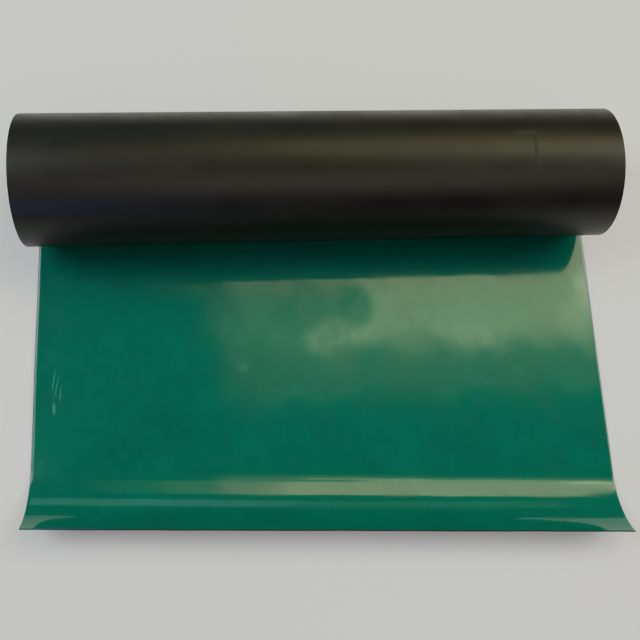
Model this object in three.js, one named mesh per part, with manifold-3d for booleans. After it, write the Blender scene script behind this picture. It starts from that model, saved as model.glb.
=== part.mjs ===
// Anti static bench mat: a two-ply rubber sheet, wound up with its black side out.
// The free end runs out from under the roll, lies flat with its green side up,
// and curls up at its front edge. Millimetres, +Z up, X along the roll.

import * as THREE from 'three';
import { mergeVertices } from 'three/addons/utils/BufferGeometryUtils.js';
import Module from 'manifold-3d';

// Sheet: a conductive black ply under a thin dissipative green one
const matWidth = 800;
const blackPly = 1.5;
const greenPly = 0.5;

// Roll: the air gap is the mean slack between two turns
const boreDiameter = 75;
const turnCount = 24;
const turnGap = 0.2;

// Grooves between the turns on the roll's two ends, open to the rounded corners of each turn
const grooveWidth = 0.6;
const grooveDepth = 0.8;

// Flap: the flat stretch in front of the roll, measured at its middle, then the lip, whose radius
// is that of its underside. The cut edge isn't square: it lies further forward at its right end.
const flapLength = 410;
const lipRadius = 72;
const lipAngle = THREE.MathUtils.degToRad(71);
const edgeRunout = 40;

// Gap between the end of the green ply and the roll that comes down on it
const nipClearance = 0.3;

// How far the wound turns reach into the outer band that they are fused to
const fuseDepth = 0.8;

// Steps of the round shapes
const turnSegments = 32;
const spiralSegments = 72;
const lipSegments = 14;

const sheetThickness = blackPly + greenPly;
const pitch = sheetThickness + turnGap;
const boreRadius = boreDiameter / 2;
const rollRadius = boreRadius + turnCount * pitch;
const woundTurns = turnCount - 2;
const bandRadius = boreRadius + woundTurns * pitch;

const wasm = await Module();
wasm.setup();

const blackRubber = new THREE.MeshStandardMaterial({ color: '#2a2622', roughness: 0.45, metalness: 0 });
const greenRubber = new THREE.MeshStandardMaterial({ color: '#00644f', roughness: 0.3, metalness: 0 });

// A drawing of the section, with y to the right and z up, is carried along X
const sectionToWorld = new THREE.Matrix4().makeBasis(
  new THREE.Vector3(0, 1, 0),
  new THREE.Vector3(0, 0, 1),
  new THREE.Vector3(1, 0, 0),
);

// A turned shape's own axis is Y, and the roll's is X
const turnedToWorld = new THREE.Matrix4().makeBasis(
  new THREE.Vector3(0, 0, 1),
  new THREE.Vector3(1, 0, 0),
  new THREE.Vector3(0, 1, 0),
);

function toSolid(geometry) {
  const bare = geometry.clone();
  bare.deleteAttribute('normal');
  bare.deleteAttribute('uv');
  const merged = mergeVertices(bare);
  return new wasm.Manifold(new wasm.Mesh({
    numProp: 3,
    vertProperties: merged.attributes.position.array,
    triVerts: merged.index.array,
  }));
}

function toGeometry(solid) {
  const mesh = solid.getMesh();
  const geometry = new THREE.BufferGeometry();
  geometry.setAttribute('position', new THREE.BufferAttribute(mesh.vertProperties, 3));
  geometry.setIndex(new THREE.BufferAttribute(mesh.triVerts, 1));
  geometry.computeVertexNormals();
  return geometry;
}

function acrossWidth(section) {
  const geometry = new THREE.ExtrudeGeometry(section, { depth: matWidth, steps: 1, bevelEnabled: false });
  geometry.applyMatrix4(sectionToWorld);
  geometry.translate(-matWidth / 2, 0, 0);
  return slantLip(geometry);
}

// Carries the lip forward towards its right end and back towards its left
function slantLip(geometry) {
  const position = geometry.getAttribute('position');
  const lipStart = Math.fround(-flapLength);
  for (let index = 0; index < position.count; index += 1) {
    const y = position.getY(index);
    if (y <= lipStart) position.setY(index, y - edgeRunout * position.getX(index) / matWidth);
  }
  return geometry;
}

// The lip's arc at one level of the sheet, from the flat stretch to the free edge
function lipArc(radius) {
  return Array.from({ length: lipSegments + 1 }, (_, step) => {
    const angle = lipAngle * step / lipSegments;
    return new THREE.Vector2(-flapLength - radius * Math.sin(angle), lipRadius - radius * Math.cos(angle));
  });
}

// The outer turn, seen on the section: from the floor round the back, the top and the front,
// and down onto the flap, where it has come in by one pitch
function outerTurn() {
  return Array.from({ length: spiralSegments + 1 }, (_, step) => {
    const share = step / spiralSegments;
    const angle = 2 * Math.PI * share;
    const radius = rollRadius - pitch * share;
    return new THREE.Vector2(radius * Math.sin(angle), rollRadius - radius * Math.cos(angle));
  });
}

// Outline of one end of the wound turns, from the bore outwards: flat edges with a groove after each
function turnEdges() {
  const cornerCut = (grooveWidth - turnGap) / 2;
  const edges = [new THREE.Vector2(boreRadius, matWidth / 2)];
  for (let turn = 0; turn < woundTurns; turn += 1) {
    const inner = boreRadius + turn * pitch;
    const outer = inner + sheetThickness;
    if (turn > 0) edges.push(new THREE.Vector2(inner + cornerCut, matWidth / 2));
    edges.push(new THREE.Vector2(outer - cornerCut, matWidth / 2));
    edges.push(new THREE.Vector2(outer + turnGap / 2, matWidth / 2 - grooveDepth));
  }
  edges.push(new THREE.Vector2(bandRadius + fuseDepth, matWidth / 2 - grooveDepth));
  return edges;
}

// The wound turns as one turned solid with its bore
function woundRoll() {
  const rightEnd = turnEdges().reverse();
  const leftEnd = turnEdges().map((point) => new THREE.Vector2(point.x, -point.y));
  const profile = [...rightEnd, ...leftEnd, rightEnd[0]];
  const geometry = new THREE.LatheGeometry(profile, turnSegments);
  geometry.applyMatrix4(turnedToWorld);
  geometry.translate(0, 0, rollRadius);
  return geometry;
}

// The outer band of the roll, with the flap's black ply and the lip running on from it
function bandAndFlap() {
  const section = new THREE.Shape([
    ...outerTurn(),
    new THREE.Vector2(0, blackPly),
    ...lipArc(lipRadius - blackPly),
    ...lipArc(lipRadius).reverse(),
  ]);
  const seat = Array.from({ length: turnSegments }, (_, step) => {
    const angle = 2 * Math.PI * step / turnSegments;
    return new THREE.Vector2(bandRadius * Math.cos(angle), rollRadius + bandRadius * Math.sin(angle));
  });
  section.holes.push(new THREE.Path(seat));
  return acrossWidth(section);
}

// The green ply on the flap and the lip, face to face with the black one
function greenFace() {
  return acrossWidth(new THREE.Shape([
    new THREE.Vector2(-nipClearance, blackPly),
    new THREE.Vector2(-nipClearance, sheetThickness),
    ...lipArc(lipRadius - sheetThickness),
    ...lipArc(lipRadius - blackPly).reverse(),
  ]));
}

const group = new THREE.Group();

const blackBacking = new THREE.Mesh(toGeometry(toSolid(bandAndFlap()).add(toSolid(woundRoll()))), blackRubber);
blackBacking.name = 'black_backing';
group.add(blackBacking);

const greenTopLayer = new THREE.Mesh(greenFace(), greenRubber);
greenTopLayer.name = 'green_top_layer';
group.add(greenTopLayer);

// The origin is on the floor, in the middle of the area that the mat covers
const extent = new THREE.Box3().setFromObject(group);
group.position.y = -(extent.min.y + extent.max.y) / 2;

export default group;
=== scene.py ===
import math

import bpy
import numpy as np
from mathutils import Matrix, Vector


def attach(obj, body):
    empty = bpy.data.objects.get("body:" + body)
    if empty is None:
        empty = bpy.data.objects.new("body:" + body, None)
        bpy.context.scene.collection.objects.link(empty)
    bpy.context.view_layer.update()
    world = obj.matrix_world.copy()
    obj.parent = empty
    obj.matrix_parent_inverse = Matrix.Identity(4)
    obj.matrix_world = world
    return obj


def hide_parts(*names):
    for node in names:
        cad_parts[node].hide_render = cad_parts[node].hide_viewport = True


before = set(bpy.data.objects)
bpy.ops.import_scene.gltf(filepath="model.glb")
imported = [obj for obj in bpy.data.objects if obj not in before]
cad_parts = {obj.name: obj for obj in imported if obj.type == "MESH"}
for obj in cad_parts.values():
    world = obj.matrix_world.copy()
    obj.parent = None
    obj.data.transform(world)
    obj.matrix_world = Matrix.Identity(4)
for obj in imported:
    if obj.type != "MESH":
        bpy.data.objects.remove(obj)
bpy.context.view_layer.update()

# Camera
# It stands where the photograph was taken from: above the flap, a little left of the middle,
# looking steeply down at the roll.
view_place = (-0.1018, -0.2898, 1.1799)
view_turn = math.radians(17.78)
view_drop = math.radians(74.47)
view_lean = math.radians(15.55)
view_lens_per_frame = 1.3309

level_right = Vector((math.cos(view_turn), -math.sin(view_turn), 0.0))
ahead = Vector((
    math.sin(view_turn) * math.cos(view_drop),
    math.cos(view_turn) * math.cos(view_drop),
    -math.sin(view_drop),
))
level_up = level_right.cross(ahead)
camera_right = level_right * math.cos(view_lean) + level_up * math.sin(view_lean)
camera_up = level_up * math.cos(view_lean) - level_right * math.sin(view_lean)

camera_data = bpy.data.cameras.new("camera")
camera_data.sensor_width = 36.0
camera_data.lens = camera_data.sensor_width * view_lens_per_frame
camera = bpy.data.objects.new("camera", camera_data)
camera_axes = Matrix((camera_right, camera_up, -ahead)).transposed().to_4x4()
camera.matrix_world = Matrix.Translation(view_place) @ camera_axes
bpy.context.collection.objects.link(camera)
bpy.context.scene.camera = camera

# Black ply of the flap and the outer turns
# Conductive black rubber, the lower and thicker of the sheet's two plies. It is the outside of the
# roll and the underside of the flap, and ends at the knife-cut front edge, which curls up as a lip.
mat_width = 0.8
black_thickness = 0.0015
green_thickness = 0.0005
sheet_thickness = black_thickness + green_thickness
turn_slack = 0.0002
turn_pitch = sheet_thickness + turn_slack

roll_radius = 0.0903
roll_y = 0.20416
flap_length = 0.3967
lip_radius = 0.0921
lip_angle = math.radians(61.8)
edge_runout = 0.040
bore_radius = 0.0375
outer_turns = 1.3
cut_corner = 0.0003
joint_corner = 0.00002
lip_steps = 44
flat_steps = 72
outer_steps = 184
flap_columns = 96
black_color = (0.0044, 0.0036, 0.0027, 1.0)
worn_black_color = (0.021, 0.018, 0.014, 1.0)
black_grain_depth = 0.00003
black_index = 1.41


def lip_path(steps):
    """The lip, from the cut edge down to the flat stretch: an arc whose tilt falls from the lip's
    angle to nothing. Returns y, z and the tilt of the black face at each step."""
    tilt = np.linspace(-lip_angle, 0.0, steps)
    y = -flap_length + lip_radius * np.sin(tilt)
    z = lip_radius * (1.0 - np.cos(tilt))
    return y, z, tilt


def flat_path(steps):
    """The flat stretch, from the lip to the point where the roll comes down on it."""
    y = np.linspace(-flap_length, 0.0, steps)
    return y, np.zeros(steps), np.zeros(steps)


def wound_path(first_turn, last_turn, steps):
    """Part of the winding: a spiral whose radius falls by one pitch a turn. It runs from the floor
    round the back, over the top and down the front."""
    tilt = np.linspace(first_turn, last_turn, steps) * 2.0 * np.pi
    radius = roll_radius - turn_pitch * tilt / (2.0 * np.pi)
    return radius * np.sin(tilt), roll_radius - radius * np.cos(tilt), tilt


def join_paths(*paths):
    """One path from several that follow one another, with each shared point kept once."""
    trimmed = [[values[1 if index else 0:] for values in path] for index, path in enumerate(paths)]
    return [np.concatenate(column) for column in zip(*trimmed)]


def edge_wander(tilt):
    """How far each turn sits out of line on the roll's ends: two slow waves that grow from nothing
    over the first turns."""
    turns = np.clip(tilt / (2.0 * np.pi) - 1.0, 0.0, None)
    settle = 1.0 - np.exp(-turns)
    return settle * (0.0006 * np.sin(2.1 * turns) + 0.0003 * np.sin(7.3 * turns + 1.0))


def flap_unevenness(across, y):
    """How far the flap stands off the floor. It is a sum of slow sine waves, each about a tenth of a
    millimetre high, plus a curl along the left edge: a bell across the edge times a bell along it.
    All of it fades out before the roll."""
    waves = np.zeros(np.broadcast(across, y).shape)
    for height, per_metre_across, per_metre_along, start in (
        (0.00012, 3.1, 1.7, 0.4),
        (0.00009, -4.6, 3.9, 2.1),
        (0.00006, 7.9, 5.2, 5.0),
        (0.00005, 11.3, -6.1, 1.2),
        (0.00003, 15.7, 9.4, 3.3),
    ):
        turn = 2.0 * np.pi * (per_metre_across * across + per_metre_along * y) + start
        waves = waves + height * (1.0 + np.sin(turn))
    curl_height = 0.0010
    from_left = (across + mat_width / 2.0) / 0.018
    from_middle = (y + 0.235) / 0.085
    curl = curl_height * np.exp(-from_left ** 2) * np.exp(-from_middle ** 2)
    fade = np.clip((-0.015 - y) / 0.050, 0.0, 1.0)
    return (waves + curl) * fade * fade * (3.0 - 2.0 * fade)


def sheet_section(level_low, level_high, round_low, round_high, set_in, columns):
    """The sheet cut across its width: a closed loop of (place across, level in the sheet), with its
    lower half from left to right and its upper half back again. The corners are quarter circles, and
    the points stand closer together near both edges."""
    quarter = np.linspace(0.0, np.pi / 2.0, 4)
    half = mat_width / 2.0 - set_in

    def side(level, radius, inwards):
        even = np.linspace(-1.0, 1.0, columns + 2)
        reach = (half - radius) * (0.4 * even + 0.6 * np.sin(even * np.pi / 2.0))
        face = np.stack([reach, np.full(reach.size, level)], axis=1)
        corner = np.stack([
            half - radius + radius * np.sin(quarter[1:]),
            level + inwards * radius * (1.0 - np.cos(quarter[1:])),
        ], axis=1)
        mirrored = corner[::-1] * (-1.0, 1.0)
        return np.concatenate([mirrored, face, corner])

    return np.concatenate([side(level_low, round_low, 1.0), side(level_high, round_high, -1.0)[::-1]])


def sheet_mesh(name, path, section):
    """Carries the section along the path. A point lies at the path's y and z, moved towards the
    green side by its level and the flap's unevenness, and the flap is sheared forward on the right
    in step with its distance from the roll. The map named sheet holds each point's place across and
    its length along the sheet, in metres."""
    y, z, tilt = path
    across = section[:, 0][None, :] + edge_wander(tilt)[:, None]
    on_flap = (tilt <= 0.0)[:, None]
    rise = np.where(on_flap, flap_unevenness(across, y[:, None]), 0.0)
    level = section[:, 1][None, :] + rise
    along_y = y[:, None] - level * np.sin(tilt)[:, None]
    along_z = z[:, None] + level * np.cos(tilt)[:, None]
    share = np.where(on_flap, np.clip(-y[:, None] / flap_length, 0.0, 1.0), 0.0)
    along_y = along_y - edge_runout * share * across / mat_width + roll_y
    points = np.stack([across, along_y, along_z], axis=-1)
    rows, size = points.shape[:2]

    row = np.arange(rows - 1)[:, None] * size
    here = np.arange(size)[None, :]
    after = (here + 1) % size
    next_row = row + size
    wall = np.stack([row + here, row + after, next_row + after, next_row + here], axis=-1)
    low = np.arange(size // 2 - 1)
    first_cap = np.stack([low, size - 1 - low, size - 2 - low, low + 1], axis=-1)
    last_cap = first_cap[:, ::-1] + (rows - 1) * size
    faces = np.concatenate([wall.reshape(-1, 4), first_cap, last_cap])

    mesh = bpy.data.meshes.new(name)
    mesh.from_pydata(points.reshape(-1, 3), [], faces.tolist())
    travelled = np.concatenate([[0.0], np.cumsum(np.hypot(np.diff(y), np.diff(z)))])
    unrolled = np.stack(np.broadcast_arrays(section[:, 0][None, :], travelled[:, None]), axis=-1)
    corners = np.empty(len(mesh.loops), dtype=np.int32)
    mesh.loops.foreach_get("vertex_index", corners)
    mesh.uv_layers.new(name="sheet").data.foreach_set("uv", unrolled.reshape(-1, 2)[corners].ravel())
    mesh.shade_smooth()
    mesh.set_sharp_from_angle(angle=math.radians(50))
    piece = bpy.data.objects.new(name, mesh)
    bpy.context.collection.objects.link(piece)
    return piece


outer_path = join_paths(
    lip_path(lip_steps),
    flat_path(flat_steps),
    wound_path(0.0, outer_turns, outer_steps),
)
black_outer = sheet_mesh(
    "black_ply_flap",
    outer_path,
    sheet_section(0.0, black_thickness, cut_corner, joint_corner, 0.0, flap_columns),
)


def add_node(tree, kind, feeds=None, **settings):
    """Adds one shader node. The settings are its own choices, and each of its inputs is fed by a
    socket or held at a number."""
    made = tree.nodes.new(kind)
    for name, value in settings.items():
        setattr(made, name, value)
    for name, value in (feeds or {}).items():
        if isinstance(name, int):
            socket = made.inputs[name]
        else:
            socket = next(s for s in made.inputs if s.name == name and s.enabled)
        if isinstance(value, bpy.types.NodeSocket):
            tree.links.new(value, socket)
        else:
            socket.default_value = value
    return made


def first_output(made):
    """The output that a node has in use."""
    return next(s for s in made.outputs if s.enabled)


def maths(tree, operation, *values):
    """One sum, product or other step of arithmetic."""
    feeds = dict(enumerate(values))
    return first_output(add_node(tree, "ShaderNodeMath", feeds, operation=operation))


def ramp(tree, value, low, high, to_low=0.0, to_high=1.0):
    """Maps low to high on to another range with soft ends."""
    feeds = {"Value": value, "From Min": low, "From Max": high, "To Min": to_low, "To Max": to_high}
    return first_output(add_node(tree, "ShaderNodeMapRange", feeds, interpolation_type="SMOOTHSTEP"))


def noise(tree, place, scale, detail=2.0, roughness=0.5):
    """Soft irregular noise between 0 and 1, with so many features to the metre."""
    feeds = {"Vector": place, "Scale": scale, "Detail": detail, "Roughness": roughness}
    return first_output(add_node(tree, "ShaderNodeTexNoise", feeds))


def stretch(tree, place, along_x, along_y):
    """The place with its two directions scaled apart, which draws noise out into streaks."""
    feeds = {"Vector": place, "Scale": (along_x, along_y, 1.0)}
    return first_output(add_node(tree, "ShaderNodeMapping", feeds))


def blend_colors(tree, share, first, second):
    """The first colour where the share is 0 and the second where it is 1."""
    feeds = {"Factor": share, "A": first, "B": second}
    return first_output(add_node(tree, "ShaderNodeMix", feeds, data_type="RGBA"))


def new_group(name, inputs, outputs):
    """An empty node group and its two end nodes. Its first input is the place on the sheet, and its
    other inputs and its outputs are numbers with the names given."""
    tree = bpy.data.node_groups.new(name, "ShaderNodeTree")
    tree.interface.new_socket("Place", in_out="INPUT", socket_type="NodeSocketVector")
    for label in inputs:
        tree.interface.new_socket(label, in_out="INPUT", socket_type="NodeSocketFloat")
    for label in outputs:
        tree.interface.new_socket(label, in_out="OUTPUT", socket_type="NodeSocketFloat")
    return tree, tree.nodes.new("NodeGroupInput"), tree.nodes.new("NodeGroupOutput")


def build_rolled_skin():
    """The skin that the press rollers leave: fine grain, small pits, faint lines along the run of
    the sheet, and a slow mottle in how closely the rubber was pressed."""
    tree, given, out = new_group("rolled_skin", ["Grains", "Pitting"], ["Relief", "Mottle"])
    place = given.outputs["Place"]
    grain = noise(tree, place, given.outputs["Grains"], 4.0, 0.62)
    pits = add_node(tree, "ShaderNodeTexVoronoi", {"Vector": place, "Scale": 520.0}, feature="F1")
    pit = ramp(tree, pits.outputs["Distance"], 0.10, 0.34)
    pit_depth = maths(tree, "MULTIPLY", maths(tree, "SUBTRACT", 1.0, pit), given.outputs["Pitting"])
    lines = noise(tree, stretch(tree, place, 1.0, 0.010), 620.0, 3.0, 0.55)
    relief = maths(tree, "SUBTRACT", maths(tree, "MULTIPLY_ADD", lines, 0.35, grain), pit_depth)
    broad = noise(tree, place, 11.0, 4.0, 0.60)
    patchy = noise(tree, stretch(tree, place, 1.6, 1.0), 38.0, 3.0, 0.55)
    mottle = ramp(tree, maths(tree, "MULTIPLY_ADD", patchy, 0.45, broad), 0.45, 1.02)
    tree.links.new(relief, out.inputs["Relief"])
    tree.links.new(mottle, out.inputs["Mottle"])
    return tree


def build_handling():
    """What handling leaves on a sheet: a worn rim along its two long edges, specks and smears of
    dust, and hairline scuffs that run any way."""
    tree, given, out = new_group("handling", ["Half Width", "Rim Width"], ["Rim", "Dust", "Scuffs"])
    place = given.outputs["Place"]
    parts = add_node(tree, "ShaderNodeSeparateXYZ", {"Vector": place})
    from_middle = maths(tree, "ABSOLUTE", parts.outputs["X"])
    from_edge = maths(tree, "SUBTRACT", given.outputs["Half Width"], from_middle)
    ragged = maths(tree, "MULTIPLY_ADD", noise(tree, place, 260.0, 3.0), -0.0012, from_edge)
    rim = ramp(tree, ragged, given.outputs["Rim Width"], 0.0)
    specks = add_node(tree, "ShaderNodeTexVoronoi", {"Vector": place, "Scale": 210.0}, feature="F1")
    speck = ramp(tree, specks.outputs["Distance"], 0.10, 0.03)
    where = ramp(tree, noise(tree, place, 27.0, 2.0), 0.50, 0.72)
    smear = ramp(tree, noise(tree, stretch(tree, place, 0.6, 1.7), 19.0, 5.0, 0.68), 0.52, 0.80)
    some_specks = maths(tree, "MULTIPLY", speck, where)
    dust = maths(tree, "MAXIMUM", some_specks, maths(tree, "MULTIPLY", smear, 0.45))
    warp = noise(tree, place, 9.0, 1.0)
    shift = add_node(tree, "ShaderNodeCombineXYZ", {"X": warp, "Y": warp})
    bent = add_node(
        tree,
        "ShaderNodeVectorMath",
        {0: place, 1: shift.outputs["Vector"]},
        operation="ADD",
    )
    cells = add_node(
        tree,
        "ShaderNodeTexVoronoi",
        {"Vector": bent.outputs["Vector"], "Scale": 17.0},
        feature="DISTANCE_TO_EDGE",
    )
    hair = ramp(tree, cells.outputs["Distance"], 0.007, 0.0)
    some = ramp(tree, noise(tree, place, 33.0, 2.0), 0.54, 0.66)
    tree.links.new(rim, out.inputs["Rim"])
    tree.links.new(dust, out.inputs["Dust"])
    tree.links.new(maths(tree, "MULTIPLY", hair, some), out.inputs["Scuffs"])
    return tree


def build_crease():
    """One straight mark on the sheet, at a place across and along it, with a lean, a length and a
    width. It is strongest on its own line and fades towards both ends."""
    tree, given, out = new_group("crease", ["Across", "Along", "Lean", "Length", "Width"], ["Mark"])
    parts = add_node(tree, "ShaderNodeSeparateXYZ", {"Vector": given.outputs["Place"]})
    past = maths(tree, "SUBTRACT", parts.outputs["Y"], given.outputs["Along"])
    beside = maths(tree, "SUBTRACT", parts.outputs["X"], given.outputs["Across"])
    leaning = maths(tree, "MULTIPLY", past, given.outputs["Lean"])
    off_line = maths(tree, "ABSOLUTE", maths(tree, "SUBTRACT", beside, leaning))
    line = ramp(tree, off_line, given.outputs["Width"], 0.0)
    ends = ramp(tree, maths(tree, "ABSOLUTE", past), given.outputs["Length"], 0.0)
    tree.links.new(maths(tree, "MULTIPLY", line, ends), out.inputs["Mark"])
    return tree


rolled_skin = build_rolled_skin()
handling = build_handling()
crease = build_crease()


def use_group(tree, group, feeds):
    """Places a node group in a material with that material's own values."""
    return add_node(tree, "ShaderNodeGroup", feeds, node_tree=group)


def crease_mark(tree, place, across, along, lean, length, width):
    """One crease or smudge in a material, as a mask."""
    feeds = {"Place": place, "Across": across, "Along": along}
    feeds.update({"Lean": lean, "Length": length, "Width": width})
    return use_group(tree, crease, feeds).outputs["Mark"]


def build_black_rubber():
    """Matt black rubber: close grain and pits, a greyish bloom in patches, pale worn rims, and one
    faint line with a short smudge beside it on the roll."""
    material = bpy.data.materials.new("black_rubber")
    material.use_nodes = True
    tree = material.node_tree
    shader = tree.nodes["Principled BSDF"]
    place = add_node(tree, "ShaderNodeUVMap", uv_map="sheet").outputs["UV"]
    skin = use_group(tree, rolled_skin, {"Place": place, "Grains": 1500.0, "Pitting": 0.5})
    black_edges = {"Place": place, "Half Width": mat_width / 2.0, "Rim Width": 0.0016}
    marks = use_group(tree, handling, black_edges)
    roll_line = crease_mark(tree, place, 0.280, 0.785, 0.02, 0.075, 0.0035)
    roll_smudge = crease_mark(tree, place, 0.268, 0.757, 0.0, 0.007, 0.036)
    rubbed = maths(tree, "MAXIMUM", marks.outputs["Rim"], marks.outputs["Scuffs"])
    pale = maths(tree, "MULTIPLY", skin.outputs["Mottle"], 0.15)
    for mask, strength in ((rubbed, 0.35), (marks.outputs["Dust"], 0.30), (roll_smudge, 0.95)):
        pale = maths(tree, "MAXIMUM", pale, maths(tree, "MULTIPLY", mask, strength))
    color = blend_colors(tree, pale, black_color, worn_black_color)
    tree.links.new(color, shader.inputs["Base Color"])
    duller = ramp(tree, skin.outputs["Mottle"], 0.0, 1.0, 0.40, 0.48)
    duller = maths(tree, "MULTIPLY_ADD", roll_line, 0.16, duller)
    duller = maths(tree, "MULTIPLY_ADD", roll_smudge, -0.06, duller)
    duller = maths(tree, "MULTIPLY_ADD", marks.outputs["Rim"], 0.10, duller)
    tree.links.new(duller, shader.inputs["Roughness"])
    relief = maths(tree, "MULTIPLY_ADD", roll_line, -3.0, skin.outputs["Relief"])
    relief_feeds = {"Height": relief, "Distance": black_grain_depth, "Strength": 1.0}
    bump = add_node(tree, "ShaderNodeBump", relief_feeds)
    tree.links.new(bump.outputs["Normal"], shader.inputs["Normal"])
    shader.inputs["IOR"].default_value = black_index
    return material


black_rubber = build_black_rubber()
black_outer.data.materials.append(black_rubber)
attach(black_outer, "root")
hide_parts("black_backing")

# Black ply of the wound turns
# The same ply further in, turn upon turn down to the open bore. Only its cut edges show, on the
# roll's two ends, and its face shows in the bore.
inner_steps = 1560
inner_columns = 2
last_turn = (roll_radius - bore_radius - sheet_thickness) / turn_pitch
inner_path = wound_path(outer_turns, last_turn, inner_steps)
black_inner = sheet_mesh(
    "black_ply_wound",
    inner_path,
    sheet_section(0.0, black_thickness, cut_corner, joint_corner, 0.0, inner_columns),
)
black_inner.data.materials.append(black_rubber)
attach(black_inner, "root")
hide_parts("black_backing")

# Green ply of the flap and the outer turns
# Dissipative green rubber, pressed and cured on to the black ply. It is the working face of the
# mat, smooth and glossy, and the knife leaves it a hair narrower than the black.
green_set_in = 0.0007
green_corner = 0.0002
green_color = (0.0001, 0.122, 0.080, 1.0)
deep_green_color = (0.0001, 0.098, 0.066, 1.0)
dusty_green_color = (0.060, 0.190, 0.134, 1.0)
creased_green_color = (0.085, 0.300, 0.235, 1.0)
green_grain_depth = 0.000006

green_outer = sheet_mesh(
    "green_ply_flap",
    outer_path,
    sheet_section(
        black_thickness, sheet_thickness, joint_corner, green_corner, green_set_in, flap_columns
    ),
)


def build_green_rubber():
    """Glossy green rubber: a slow mottle in colour and gloss, a thin film of dust, rims scuffed by
    handling, one pale spot, and the short creases near the left edge where the sheet was once
    pinched."""
    material = bpy.data.materials.new("green_rubber")
    material.use_nodes = True
    tree = material.node_tree
    shader = tree.nodes["Principled BSDF"]
    place = add_node(tree, "ShaderNodeUVMap", uv_map="sheet").outputs["UV"]
    skin = use_group(tree, rolled_skin, {"Place": place, "Grains": 1100.0, "Pitting": 0.15})
    green_edges = {"Place": place, "Half Width": mat_width / 2.0 - green_set_in, "Rim Width": 0.0011}
    marks = use_group(tree, handling, green_edges)
    pinch = crease_mark(tree, place, -0.3735, 0.226, 0.11, 0.024, 0.0014)
    for across, along, lean, length, width in (
        (-0.3690, 0.218, 0.16, 0.026, 0.0011),
        (-0.3640, 0.206, 0.05, 0.017, 0.0011),
        (-0.3720, 0.184, -0.05, 0.014, 0.0036),
    ):
        mark = crease_mark(tree, place, across, along, lean, length, width)
        pinch = maths(tree, "MAXIMUM", pinch, mark)
    spot = crease_mark(tree, place, -0.1136, 0.2451, 0.0, 0.012, 0.013)
    plain = blend_colors(tree, skin.outputs["Mottle"], green_color, deep_green_color)
    film = maths(tree, "MULTIPLY", marks.outputs["Dust"], 0.16)
    for mask, strength in ((marks.outputs["Scuffs"], 0.12), (spot, 0.30)):
        film = maths(tree, "MAXIMUM", film, maths(tree, "MULTIPLY", mask, strength))
    dusty = blend_colors(tree, film, plain, dusty_green_color)
    creased = blend_colors(tree, maths(tree, "MULTIPLY", pinch, 0.50), dusty, creased_green_color)
    tree.links.new(creased, shader.inputs["Base Color"])
    duller = ramp(tree, skin.outputs["Mottle"], 0.0, 1.0, 0.07, 0.15)
    duller = maths(tree, "MULTIPLY_ADD", marks.outputs["Dust"], 0.10, duller)
    duller = maths(tree, "MULTIPLY_ADD", marks.outputs["Rim"], 0.08, duller)
    tree.links.new(duller, shader.inputs["Roughness"])
    relief = maths(tree, "MULTIPLY_ADD", pinch, 2.0, skin.outputs["Relief"])
    relief = maths(tree, "MULTIPLY_ADD", marks.outputs["Scuffs"], -0.8, relief)
    relief_feeds = {"Height": relief, "Distance": green_grain_depth, "Strength": 1.0}
    bump = add_node(tree, "ShaderNodeBump", relief_feeds)
    tree.links.new(bump.outputs["Normal"], shader.inputs["Normal"])
    return material


green_rubber = build_green_rubber()
green_outer.data.materials.append(green_rubber)
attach(green_outer, "root")
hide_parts("green_top_layer")

# Green ply of the wound turns
# The same ply between the black turns. It shows as a thin green line on the roll's two ends, and as
# the lining of the bore.
inner_set_in = 0.0003
green_inner = sheet_mesh(
    "green_ply_wound",
    inner_path,
    sheet_section(
        black_thickness, sheet_thickness, joint_corner, green_corner, inner_set_in, inner_columns
    ),
)
green_inner.data.materials.append(green_rubber)
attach(green_inner, "root")
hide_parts("green_top_layer")

# Floor
# A plain pale painted floor, level with the mat's underside. It isn't part of the mat.
floor_radius = 2.8
floor_corners = 128
floor_color = (0.84, 0.85, 0.87, 1.0)
floor_roughness = 0.8

floor_mesh = bpy.data.meshes.new("floor")
floor_turn = np.linspace(0.0, 2.0 * np.pi, floor_corners, endpoint=False)
floor_round = np.stack([np.cos(floor_turn), np.sin(floor_turn), 0.0 * floor_turn], axis=1)
floor_mesh.from_pydata(floor_radius * floor_round, [], [tuple(range(floor_corners))])
floor_paint = bpy.data.materials.new("floor_paint")
floor_paint.use_nodes = True
floor_shader = floor_paint.node_tree.nodes["Principled BSDF"]
floor_shader.inputs["Base Color"].default_value = floor_color
floor_shader.inputs["Roughness"].default_value = floor_roughness
floor_mesh.materials.append(floor_paint)
floor = bpy.data.objects.new("floor", floor_mesh)
bpy.context.collection.objects.link(floor)

# Lights
# A broad warm window hangs beyond and above the roll, in soft panes of unlike brightness. Its
# mirror image makes the pale patch on the flap and the bright band on the lip. Soft lamps to the
# sides, the back and the front fill the rest.


def soft_lamp(name, place, aim, width, height, radiance, color):
    """A soft rectangular lamp at a place, turned to face its aim. Its power is its brightness times
    pi times its area."""
    data = bpy.data.lights.new(name, "AREA")
    data.shape = "RECTANGLE"
    data.size = width
    data.size_y = height
    data.energy = radiance * math.pi * width * height
    data.color = color
    lamp = bpy.data.objects.new(name, data)
    lamp.location = place
    lamp.rotation_euler = (Vector(aim) - Vector(place)).to_track_quat("-Z", "Y").to_euler()
    lamp.visible_camera = False
    bpy.context.collection.objects.link(lamp)


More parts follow.
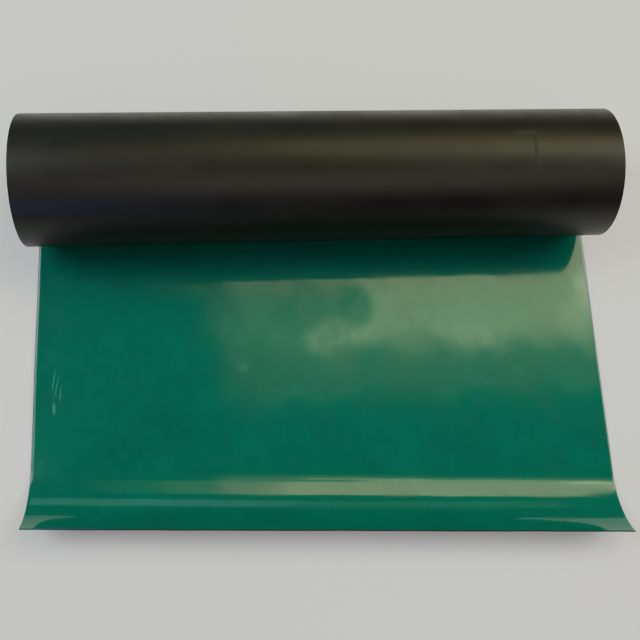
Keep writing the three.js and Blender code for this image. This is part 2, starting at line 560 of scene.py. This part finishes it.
window_height = 2.5
pane_warm = (1.0, 0.96, 0.48)
pane_pale = (0.86, 1.0, 0.45)
for name, x_low, x_high, y_low, y_high, radiance, color in (
    ("window_upper", 0.05, 1.85, 0.86, 2.35, 3.7, pane_warm),
    ("window_upper_side", -0.22, 0.05, 0.86, 2.35, 1.9, pane_warm),
    ("window_upper_left", -0.50, -0.22, 0.86, 2.35, 0.65, pane_warm),
    ("window_upper_end", -0.80, -0.50, 0.86, 2.35, 0.25, pane_warm),
    ("window_far_left", -0.22, 0.04, 0.66, 0.86, 1.1, pane_pale),
    ("window_far_dim", 0.04, 0.42, 0.66, 0.86, 0.6, pane_pale),
    ("window_far_right", 0.42, 1.40, 0.66, 0.86, 3.5, pane_pale),
    ("window_far_end", 1.40, 1.70, 0.66, 0.86, 8.5, pane_pale),
    ("window_near_left", -0.22, 0.16, 0.56, 0.66, 1.1, pane_pale),
    ("window_near_right", 0.16, 1.70, 0.56, 0.66, 4.0, pane_pale),
    ("window_ledge", -0.22, 1.70, 0.32, 0.56, 0.55, pane_warm),
):
    x_middle = (x_low + x_high) / 2.0
    y_middle = (y_low + y_high) / 2.0
    soft_lamp(
        name,
        (x_middle, y_middle, window_height),
        (x_middle, y_middle, 0.0),
        x_high - x_low,
        y_high - y_low,
        radiance,
        color,
    )

soft_lamp("left_side", (-2.75, 0.75, 2.5), (-2.0, 0.4, 0.0), 2.0, 2.2, 6.6, (0.90, 0.98, 1.0))
soft_lamp("left_near", (-1.30, 0.45, 2.5), (-1.30, 0.45, 0.0), 0.36, 0.8, 3.6, (0.72, 1.0, 0.95))
soft_lamp("right_side", (3.30, 0.75, 2.5), (2.4, 0.4, 0.0), 2.2, 2.2, 7.0, (1.0, 0.98, 0.95))
soft_lamp("front_top", (0.40, -1.6, 2.5), (0.40, -1.6, 0.0), 2.6, 2.0, 2.0, (1.0, 0.84, 0.68))
soft_lamp("back_left", (-0.5, 2.6, 1.5), (-0.15, -0.25, 0.0), 1.5, 0.7, 1.0, (0.55, 1.0, 0.95))
soft_lamp("back_right", (0.95, 2.6, 1.5), (0.15, -0.25, 0.0), 1.4, 0.7, 0.45, (0.8, 1.0, 0.7))
soft_lamp("front_left", (-1.5, -2.2, 1.1), (-0.3, 0.15, 0.1), 1.4, 0.9, 3.2, (0.30, 0.48, 1.0))

# Studio walls
# Dark overhead and in front, dim low down at the back, and plain pale where the camera sees past
# the floor.
wall_dark = (0.012, 0.012, 0.012, 1.0)
wall_glow = (0.06, 0.057, 0.054, 1.0)
wall_seen = (0.80, 0.80, 0.80, 1.0)

world = bpy.data.worlds.new("studio")
world.use_nodes = True
bpy.context.scene.world = world
room = world.node_tree
heading = add_node(room, "ShaderNodeTexCoord").outputs["Generated"]
direction = add_node(room, "ShaderNodeSeparateXYZ", {"Vector": heading})
low_down = ramp(room, direction.outputs["Z"], 0.45, 0.02)
at_back = ramp(room, direction.outputs["Y"], -0.2, 0.7)
walls = blend_colors(room, maths(room, "MULTIPLY", low_down, at_back), wall_dark, wall_glow)
seen = add_node(room, "ShaderNodeLightPath").outputs["Is Camera Ray"]
room.links.new(blend_colors(room, seen, walls, wall_seen), room.nodes["Background"].inputs["Color"])
